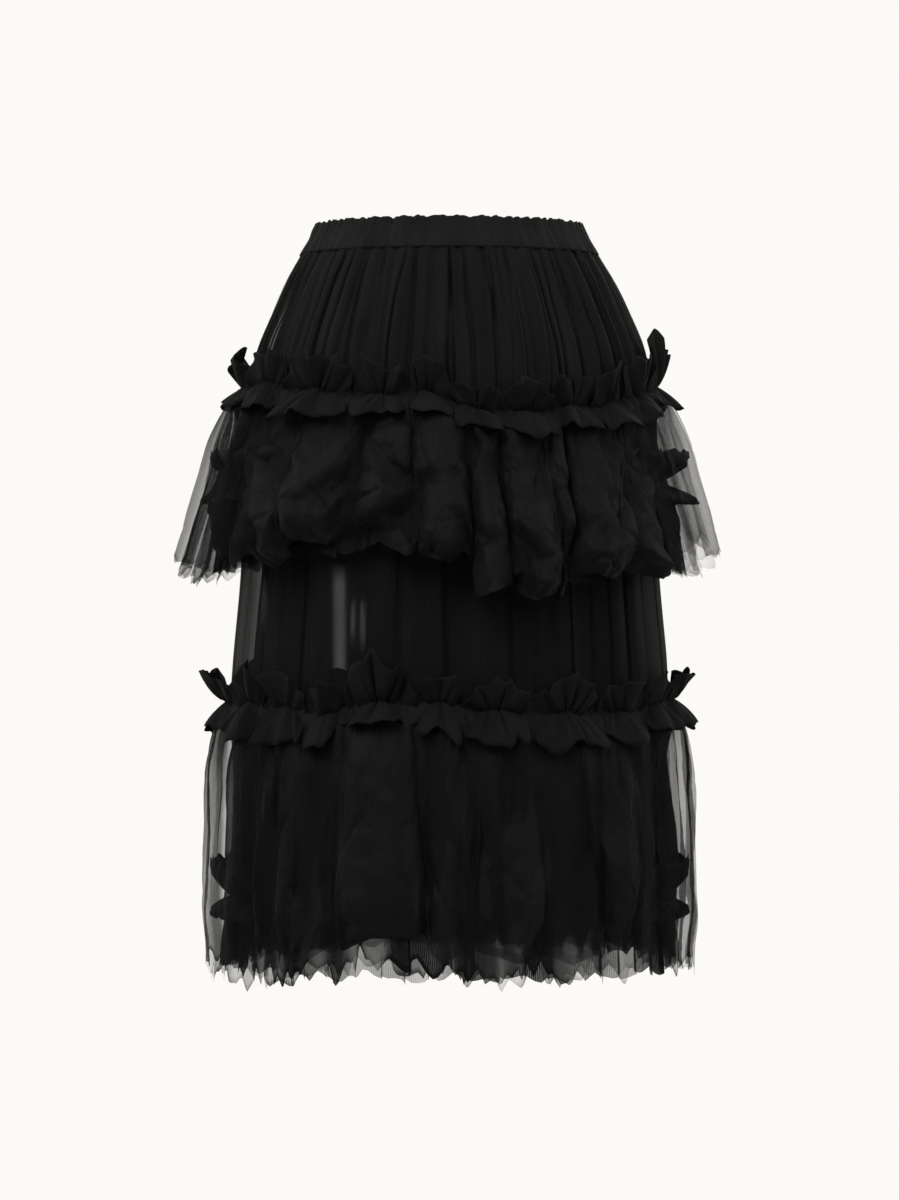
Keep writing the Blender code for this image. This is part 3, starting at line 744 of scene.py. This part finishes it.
def makePuffs(name, look):
    azimuth, share = clothGrid(look)
    sizes = puffSizes(look, azimuth)
    parting, drape = sizes["parting"], drapes[look["tier"]]
    seed = look["seed"]
    smooth = 1 - 0.6 * eased(sizes["stepped out"] / bulged)
    hem = sizes["stepped hem"] + sizes["stepped tilt"] * (sizes["share"] - 0.5)
    hem = hem + look["hemFacet"] * facets(azimuth, 2.5, 8.0, seed) * (0.4 + 0.6 * smooth)
    length = sizes["seam"] - hem
    fall = length * np.minimum(share / puffTurn, 1.0)
    turned = np.clip((share - puffTurn) / (1 - puffTurn), 0.0, 1.0)
    down = fall / length
    outset = netOutset(drape, sizes, fall)
    outset -= towardsSides(azimuth, 0.0, look["leftIn"], look["rightIn"]) * eased(fall / 0.06)
    outset -= look["valley"] * parting * (1 - sizes["puff"]) * eased(fall / 0.05)
    outset += look["swell"] * sizes["puff"] * np.sin(math.pi * down**1.2)
    outset += sizes["stepped out"] * eased(fall / 0.06) * (0.4 + 0.6 * np.sin(math.pi * down**1.3) ** 0.5)
    wander = 2.4 * np.sin(2.5 * share + np.radians(4 * azimuth)) + 1.4 * np.sin(5.0 * share + np.radians(9 * azimuth))
    long = facets(azimuth + wander * down, 3.0, 9.0, seed + 2, 0.2)
    started = eased(fall / 0.04)
    outset += look["foldDepth"] * long * started * (1 - 0.4 * turned) * smooth
    creases = grooves(azimuth - 1.3 * wander * down, 3.0, 12.0, seed + 5, 0.55)
    outset += look["creaseDepth"] * creases * started * smooth
    wide, tall = look["cell"]
    crushed = look["crush"] * started * (0.40 + 0.80 * down)
    outset += crushed * paperFolds(azimuth, fall, wide, tall, seed + 1) * (0.6 + 0.4 * smooth)
    outset += 0.50 * crushed * paperFolds(azimuth, fall, 0.45 * wide, 0.40 * tall, seed + 6)
    outset += puffGathers["depth"] * facets(azimuth, 0.8, 2.2, seed + 3) * np.exp(-fall / puffGathers["run"])
    # the puffs lie within the net; what would stand proud of it is held back
    netLies = netOutset(drape, dict(sizes, puff=1.0, tuck=0.0), fall)
    proud = outset - look["sunk"] * started - netLies
    outset = netLies + np.where(proud > 0, look["proudest"] * np.tanh(proud / look["proudest"]), proud)
    outset -= look["roll"] * (0.30 * eased((down - 0.93) / 0.07) + 0.70 * eased(turned))
    height = sizes["seam"] - fall + 0.010 * turned
    sideways = look["spread"] * np.minimum(1.2, parting) * sizes["spread"] * eased(fall / 0.05)
    sideways += look["lean"] * (2 * uneven(azimuth, seed + 4, 0.0, 1.0, (4, 7, 10)) - 1) * fall
    sideways += 0.0040 * paperFolds(azimuth, fall, 0.8 * wide, 0.7 * tall, seed + 9) * started
    points = formPoints(azimuth, height, outset, sideways)
    thinned = eased((down - 0.88 + 0.07 * facets(azimuth, 0.9, 2.6, seed + 10)) / 0.10)
    thinned = thinned * eased(1 - sizes["stepped out"] / bulged)
    density = look["density"] * uneven(azimuth, seed + 7, 0.94, 1.05, (11, 23, 41)) * (1 - look["fade"] * thinned)
    hangHalves(look["tier"] + "_net", look["cut"], name, points, fall, "net", density)


for name, look in puffLooks.items():
    makePuffs(name, look)
print("puffs packed")


# Double-edged ruffles: a crisp strip gathered along its middle, with raw edges. Each lobe fans out
# into flat facets with pointed corners, and is pinched where it meets the next
ruffleLooks = {
    "upperRuffle": {
        "tier": "upper", "seed": 91, "pinch": 0.12, "recess": 0.0050, "sideFlare": 0.002, "sideDrop": 0.76,
        "cut": (2.21, 0.064)},
    "lowerRuffle": {
        "tier": "lower", "seed": 101, "pinch": 0.16, "recess": 0.0048, "sideFlare": 0.009, "sideDrop": 0.95,
        "cut": (2.26, 0.063)},
}
# What the two share: rows in each frill, how far each lobe draws together at the seam and opens
# towards the edges, how its corners sag, and how deep the fans, gathers and creases are
ruffleShape = {
    "columns": 960, "rows": 9, "outset": 0.0023, "wall": 0.0008, "drawn": -0.72, "opened": 1.30,
    "seamWave": 0.0024, "seamSag": 0.0085, "flare": 0.0125, "riseBy": 1.08, "dropBy": 1.04, "gatherDepth": 0.0013,
    "upperCrease": 0.0072, "lowerCrease": 0.0070,
}


def makeRuffle(name, look):
    shape = ruffleShape
    azimuth = clothGrid(shape)[0]
    sizes = lobeSizes(rings[look["tier"]], azimuth)
    drape = drapes[look["tier"]]
    seed = look["seed"]
    flat, corners, spread = 1 - np.abs(2 * sizes["share"] - 1) ** 3, sizes["corners"], sizes["spread"]
    pinch = look["pinch"] + (1 - look["pinch"]) * flat
    narrow = facets(azimuth, 1.5, 4.2, seed + 1, 0.2)
    broad = facets(azimuth, 2.6, 6.8, seed + 2)
    gathers = shape["gatherDepth"] * facets(azimuth, 0.7, 1.7, seed + 3)
    seam = sizes["seam"] + shape["seamWave"] * facets(azimuth, 4.0, 12.0, seed + 11) - shape["seamSag"] * corners
    upperEdge = 0.32 * facets(azimuth, 2.6, 7.5, seed + 4, 0.1) + 0.14 * facets(azimuth, 1.1, 2.8, seed + 5)
    lowerEdge = 0.24 * facets(azimuth, 2.6, 6.8, seed + 7) + 0.12 * facets(azimuth, 1.2, 3.0, seed + 8)
    creases = grooves(azimuth, 1.8, 5.0, seed + 10, 0.50)
    seamOutset = drape["seamOutset"] + shape["outset"] - look["recess"] * corners
    drop = sizes["drop"] * shape["dropBy"] * towardsSides(azimuth, 1.0, look["sideDrop"])
    flare = towardsSides(azimuth, shape["flare"], look["sideFlare"])
    rows, falls = [], []

    def addRow(share, fall, outset, fans, creaseDepth, opened, shift):
        outset = outset + fans * share + gathers * (1 - share) ** 1.5
        outset = outset + creaseDepth * creases * math.sin(math.pi * min(1.0, 0.18 + 0.8 * share))
        sideways = spread * (shape["drawn"] + opened * share) + share * shift
        rows.append(formPoints(azimuth, seam - fall, outset, sideways))
        falls.append(fall)

    fans, shift = 0.0092 * narrow + 0.0040 * broad, 0.0050 * facets(azimuth, 1.5, 4.2, seed + 6)
    for share in np.linspace(1.0, 0.0, shape["rows"] + 1):
        rise = sizes["rise"] * shape["riseBy"] * pinch * (1 + share * upperEdge) * share**1.15
        outset = seamOutset + sizes["lean"] * share**0.55 * (0.10 + 0.90 * flat)
        addRow(share, -rise, outset, fans, shape["upperCrease"], shape["opened"], shift)
    fans, shift = 0.0078 * broad + 0.0070 * narrow, 0.0055 * facets(azimuth, 2.6, 6.8, seed + 9)
    for share in np.linspace(0.0, 1.0, shape["rows"] + 1)[1:]:
        fall = drop * pinch * (1 + share * (lowerEdge + 0.34 * corners)) * share**1.4
        outset = netOutset(drape, sizes, fall) + shape["outset"] - look["recess"] * corners
        outset = outset + math.sin(0.5 * math.pi * share) * (flare * flat - 0.0010)
        addRow(share, fall, outset, fans, shape["lowerCrease"], 1.1 * shape["opened"], shift)
    points = np.concatenate(rows)
    seamLines[name] = (points[shape["rows"]], 0.0005)
    halves, falls = look["tier"] + "_ruffle", np.concatenate(falls)
    hangHalves(halves, look["cut"], name, points, falls, "ruffle", wall=shape["wall"])


for name, look in ruffleLooks.items():
    makeRuffle(name, look)
print("ruffles stitched")


# Hidden ruffles and net that hold the tiers out, seen as shadows through the outer net
innerLooks = {
    "upperInner": {
        "tier": "upper", "rise": 0.034, "drop": 0.022, "lean": 0.030, "sideLean": 0.047, "hem": -0.330,
        "frontLift": 0.022, "frontRoom": 0.016, "valleyRoom": 0.014, "seed": 111, "cut": (1.71, 0.083),
        "ruffleCut": (1.57, 0.074)},
    "lowerInner": {
        "tier": "lower", "rise": 0.042, "drop": 0.020, "lean": 0.020, "sideLean": 0.032, "hem": -0.720,
        "frontLift": 0.0, "frontRoom": 0.012, "valleyRoom": 0.010, "seed": 121, "cut": (1.70, 0.067),
        "ruffleCut": (1.51, 0.065)},
}
innerNetLook = {
    "columns": 500, "rows": 15, "rag": 0.009, "folds": 50, "foldDepth": 0.0045, "sideShift": 0.005, "density": 0.66,
}
innerRuffleLook = {
    "columns": 600, "rows": 11, "raggedness": 0.12, "fanDepth": 0.007, "gatherDepth": 0.001, "sideShift": 0.004,
    "wall": 0.0006, "gap": 0.0035,
}


def makeInnerNet(name, key, look):
    net = innerNetLook
    azimuth, share = clothGrid(net)
    seam, seed = innerSeams[look["tier"]], look["seed"]
    sizes = dict(lobeSizes(rings[look["tier"]], azimuth), seam=seam, tuck=0.0, puff=1.0)
    lift = look["frontLift"] * np.cos(np.radians(azimuth)) ** 2
    sizes["hem"] = look["hem"] + raggedHem(azimuth, seed, net["rag"]) + lift
    fall = share * (seam - sizes["hem"])
    phase = foldPhase(azimuth, net["folds"], seed + 3, 1.2)
    outset = netOutset(drapes[key], sizes, fall) + net["foldDepth"] * eased(fall / 0.05) * (np.sin(phase) - 0.3)
    sideways = net["sideShift"] * eased(fall / 0.06) * np.cos(phase)
    points = formPoints(azimuth, seam - fall, outset, sideways)
    density = net["density"] * uneven(azimuth, seed + 5, 0.7, 1.3)
    hangHalves(look["tier"] + "_inner_net", look["cut"], name, points, fall, "net", density)


def makeInnerRuffle(name, key, look):
    ruffle = innerRuffleLook
    azimuth = clothGrid(ruffle)[0]
    sizes = puffSizes(puffLooks[look["tier"] + "Puffs"], azimuth)
    front = np.cos(np.radians(azimuth)) ** 2
    lean = towardsSides(azimuth, look["lean"], look["sideLean"])
    seam, seed = innerSeams[look["tier"]], look["seed"]
    broad = facets(azimuth, 3.0, 9.0, seed + 8)
    gathers = facets(azimuth, 0.9, 2.2, seed + 9)
    size = uneven(azimuth, seed + 10, 0.65, 1.0, (13, 22, 31))
    edge = ruffle["raggedness"] * facets(azimuth, 2.0, 6.0, seed + 11)
    rows, falls = [], []
    for share in np.linspace(1.0, -1.0, ruffle["rows"]):
        reach = look["rise"] if share > 0 else look["drop"]
        height = seam + share * reach * (1 - ruffle["raggedness"] + edge)
        outset = drapes[key]["seamOutset"] + ruffleShape["outset"] + lean * abs(share) ** 0.8 * size
        outset = outset + ruffle["fanDepth"] * abs(share) * broad + ruffle["gatherDepth"] * gathers
        # it stays inside the net, and at the front and back behind the puffs and the folds between them
        room = netOutset(drapes[look["tier"]], sizes, sizes["seam"] - height) - ruffle["gap"]
        room = room - (look["frontRoom"] + look["valleyRoom"] * sizes["parting"] * (1 - sizes["puff"])) * front
        sideways = ruffle["sideShift"] * abs(share) * facets(azimuth, 3.0, 9.0, seed + 12)
        rows.append(formPoints(azimuth, height, np.minimum(outset, room), sideways))
        falls.append(seam - height)
    points, falls = np.concatenate(rows), np.concatenate(falls)
    halves = look["tier"] + "_inner_ruffle"
    hangHalves(halves, look["ruffleCut"], name, points, falls, "ruffle", wall=ruffle["wall"])


for key, look in innerLooks.items():
    makeInnerNet(key + "Net", key, look)
    makeInnerRuffle(key + "Ruffle", key, look)
print("inner ruffles and nets set")


# Lines of stitches along the seams
stitchLook = {"spacing": 0.0033, "length": 0.0025, "thread": 0.0005, "seed": 7}
threadLook = {"dark": (0.006, 0.006, 0.006), "roughness": 0.5, "sheen": 0.02, "twist": 2400.0, "bump": (0.4, 0.0001)}


def threadMaterial():
    material, tree, shader = clothMaterial("sewing thread", threadLook)
    place = addNode(tree, "ShaderNodeTexCoord").outputs["Object"]
    addBump(tree, shader, noiseAmount(tree, place, threadLook["twist"], 1.0, 0.0, 1.0), *threadLook["bump"])
    return material


def stitchTree(material):
    # short threads, each a little different, laid end to end along an edge path
    tree = bpy.data.node_groups.new("stitches", "GeometryNodeTree")
    tree.interface.new_socket("Path", in_out="INPUT", socket_type="NodeSocketGeometry")
    for name in ("spacing", "length", "thread"):
        tree.interface.new_socket(name, in_out="INPUT", socket_type="NodeSocketFloat")
    tree.interface.new_socket("seed", in_out="INPUT", socket_type="NodeSocketInt")
    tree.interface.new_socket("Stitches", in_out="OUTPUT", socket_type="NodeSocketGeometry")
    given = addNode(tree, "NodeGroupInput").outputs
    curve = addNode(tree, "GeometryNodeMeshToCurve", {"Mesh": given["Path"]}).outputs["Curve"]
    along = addNode(tree, "GeometryNodeCurveToPoints", {"Curve": curve, "Length": given["spacing"]}, mode="LENGTH")
    bead = addNode(tree, "GeometryNodeMeshUVSphere", {"Segments": 6, "Rings": 4, "Radius": 0.5})
    size = addNode(tree, "ShaderNodeCombineXYZ", {"X": given["thread"], "Y": given["thread"], "Z": given["length"]})
    drawn = addNode(tree, "GeometryNodeTransform", {"Geometry": bead.outputs["Mesh"], "Scale": size.outputs["Vector"]})
    vary = addNode(tree, "FunctionNodeRandomValue", {"Seed": given["seed"], 2: 0.75, 3: 1.10})
    place = addNode(tree, "GeometryNodeInstanceOnPoints", {
        "Points": along.outputs["Points"], "Rotation": along.outputs["Rotation"],
        "Instance": drawn.outputs["Geometry"], "Scale": vary.outputs[1]})
    real = addNode(tree, "GeometryNodeRealizeInstances", {"Geometry": place.outputs["Instances"]})
    smooth = addNode(tree, "GeometryNodeSetShadeSmooth", {"Geometry": real.outputs["Geometry"]})
    thread = addNode(tree, "GeometryNodeSetMaterial", {"Geometry": smooth.outputs["Geometry"], "Material": material})
    addNode(tree, "NodeGroupOutput", {"Stitches": thread.outputs["Geometry"]})
    return tree


def sewStitches(name, points, above, tree):
    outward = points * (1.0, 1.0, 0.0)
    points = points + above * outward / np.linalg.norm(outward, axis=1, keepdims=True)
    edges = [(k, (k + 1) % len(points)) for k in range(len(points))]
    mesh = bpy.data.meshes.new(name)
    mesh.from_pydata(points.tolist(), edges, [])
    piece = addObject(name, mesh)
    sewing = piece.modifiers.new("stitches", "NODES")
    sewing.node_group = tree
    for socket in tree.interface.items_tree:
        if socket.in_out == "INPUT" and socket.name in stitchLook:
            sewing[socket.identifier] = stitchLook[socket.name]
    graph = bpy.context.evaluated_depsgraph_get()
    sewn = bpy.data.meshes.new_from_object(piece.evaluated_get(graph))
    piece.modifiers.remove(sewing)
    piece.data = sewn
    sewn.name = name
    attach(piece, "root")
    print(f"{name}: {len(sewn.polygons)} faces of stitches")


stitches = stitchTree(threadMaterial())
for name, (points, above) in seamLines.items():
    sewStitches(f"{name}Stitches", points, above, stitches)


# Studio: a pale floor that curves up all round, and soft light from above
studioLook = {
    "paper": (0.974, 0.957, 0.923), "floorDrop": 1.02, "floor": 8.0, "curve": 2.5, "wall": 9.0, "bends": 12,
    "around": 96, "worldLight": 0.42,
}
lightLooks = {
    "key light": {"place": (-1.6, -3.0, 2.6), "power": 92.0, "size": 2.4},
    "fill light": {"place": (2.8, -2.4, 1.6), "power": 30.0, "size": 2.2},
    "back light": {"place": (0.4, 3.2, 2.4), "power": 70.0, "size": 2.4},
    "left light": {"place": (-3.6, 0.8, 1.8), "power": 26.0, "size": 2.0},
    "right light": {"place": (3.6, 0.8, 1.8), "power": 22.0, "size": 2.0},
}


def makeSweep():
    # floor and backdrop in one round sheet, which lights nothing itself
    look = studioLook
    profile = [(look["floor"], 0.0)]
    for k in range(1, look["bends"] + 1):
        turn = math.radians(90.0 / look["bends"] * k)
        profile.append((look["floor"] + look["curve"] * math.sin(turn), look["curve"] * (1 - math.cos(turn))))
    profile.append((look["floor"] + look["curve"], look["wall"]))
    around = look["around"]
    turns = [2 * math.pi * k / around for k in range(around)]
    verts = [(r * math.cos(turn), r * math.sin(turn), z - look["floorDrop"]) for r, z in profile for turn in turns]
    faces = [tuple(range(around))]
    for row in range(0, around * (len(profile) - 1), around):
        for k in range(around):
            beside = (k + 1) % around
            faces.append((row + k, row + beside, row + around + beside, row + around + k))
    mesh = bpy.data.meshes.new("sweep")
    mesh.from_pydata(verts, [], faces)
    mesh.shade_smooth()
    material = newMaterial("sweep paper", {
        "Base Color": (0.0, 0.0, 0.0, 1.0), "Specular IOR Level": 0.0, "Roughness": 1.0,
        "Emission Color": (*look["paper"], 1.0), "Emission Strength": 1.0})[0]
    mesh.materials.append(material)
    sweep = addObject("sweep", mesh)
    sweep.visible_diffuse = False
    sweep.visible_glossy = False


def addSoftLight(name, look):
    data = bpy.data.lights.new(name, "AREA")
    data.energy = look["power"]
    data.size = look["size"]
    light = addObject(name, data)
    light.location = look["place"]
    aim = np.array([0.0, 0.0, cameraLook["height"]]) - np.array(look["place"])
    light.rotation_euler = (math.atan2(math.hypot(aim[0], aim[1]), -aim[2]), 0.0, math.atan2(-aim[0], aim[1]))
    light.visible_camera = False


makeSweep()
for name, look in lightLooks.items():
    addSoftLight(name, look)
world = bpy.data.worlds.new("studio")
world.use_nodes = True
background = world.node_tree.nodes["Background"]
background.inputs["Color"].default_value = (*studioLook["paper"], 1.0)
background.inputs["Strength"].default_value = studioLook["worldLight"]
scene.world = world
scene.cycles.transparent_max_bounces = 32  # a ray meets many layers of net
view = scene.view_settings
view.view_transform = "Standard"
view.look = "None"
view.exposure = 0.0
view.gamma = 1.0
print("studio lit")
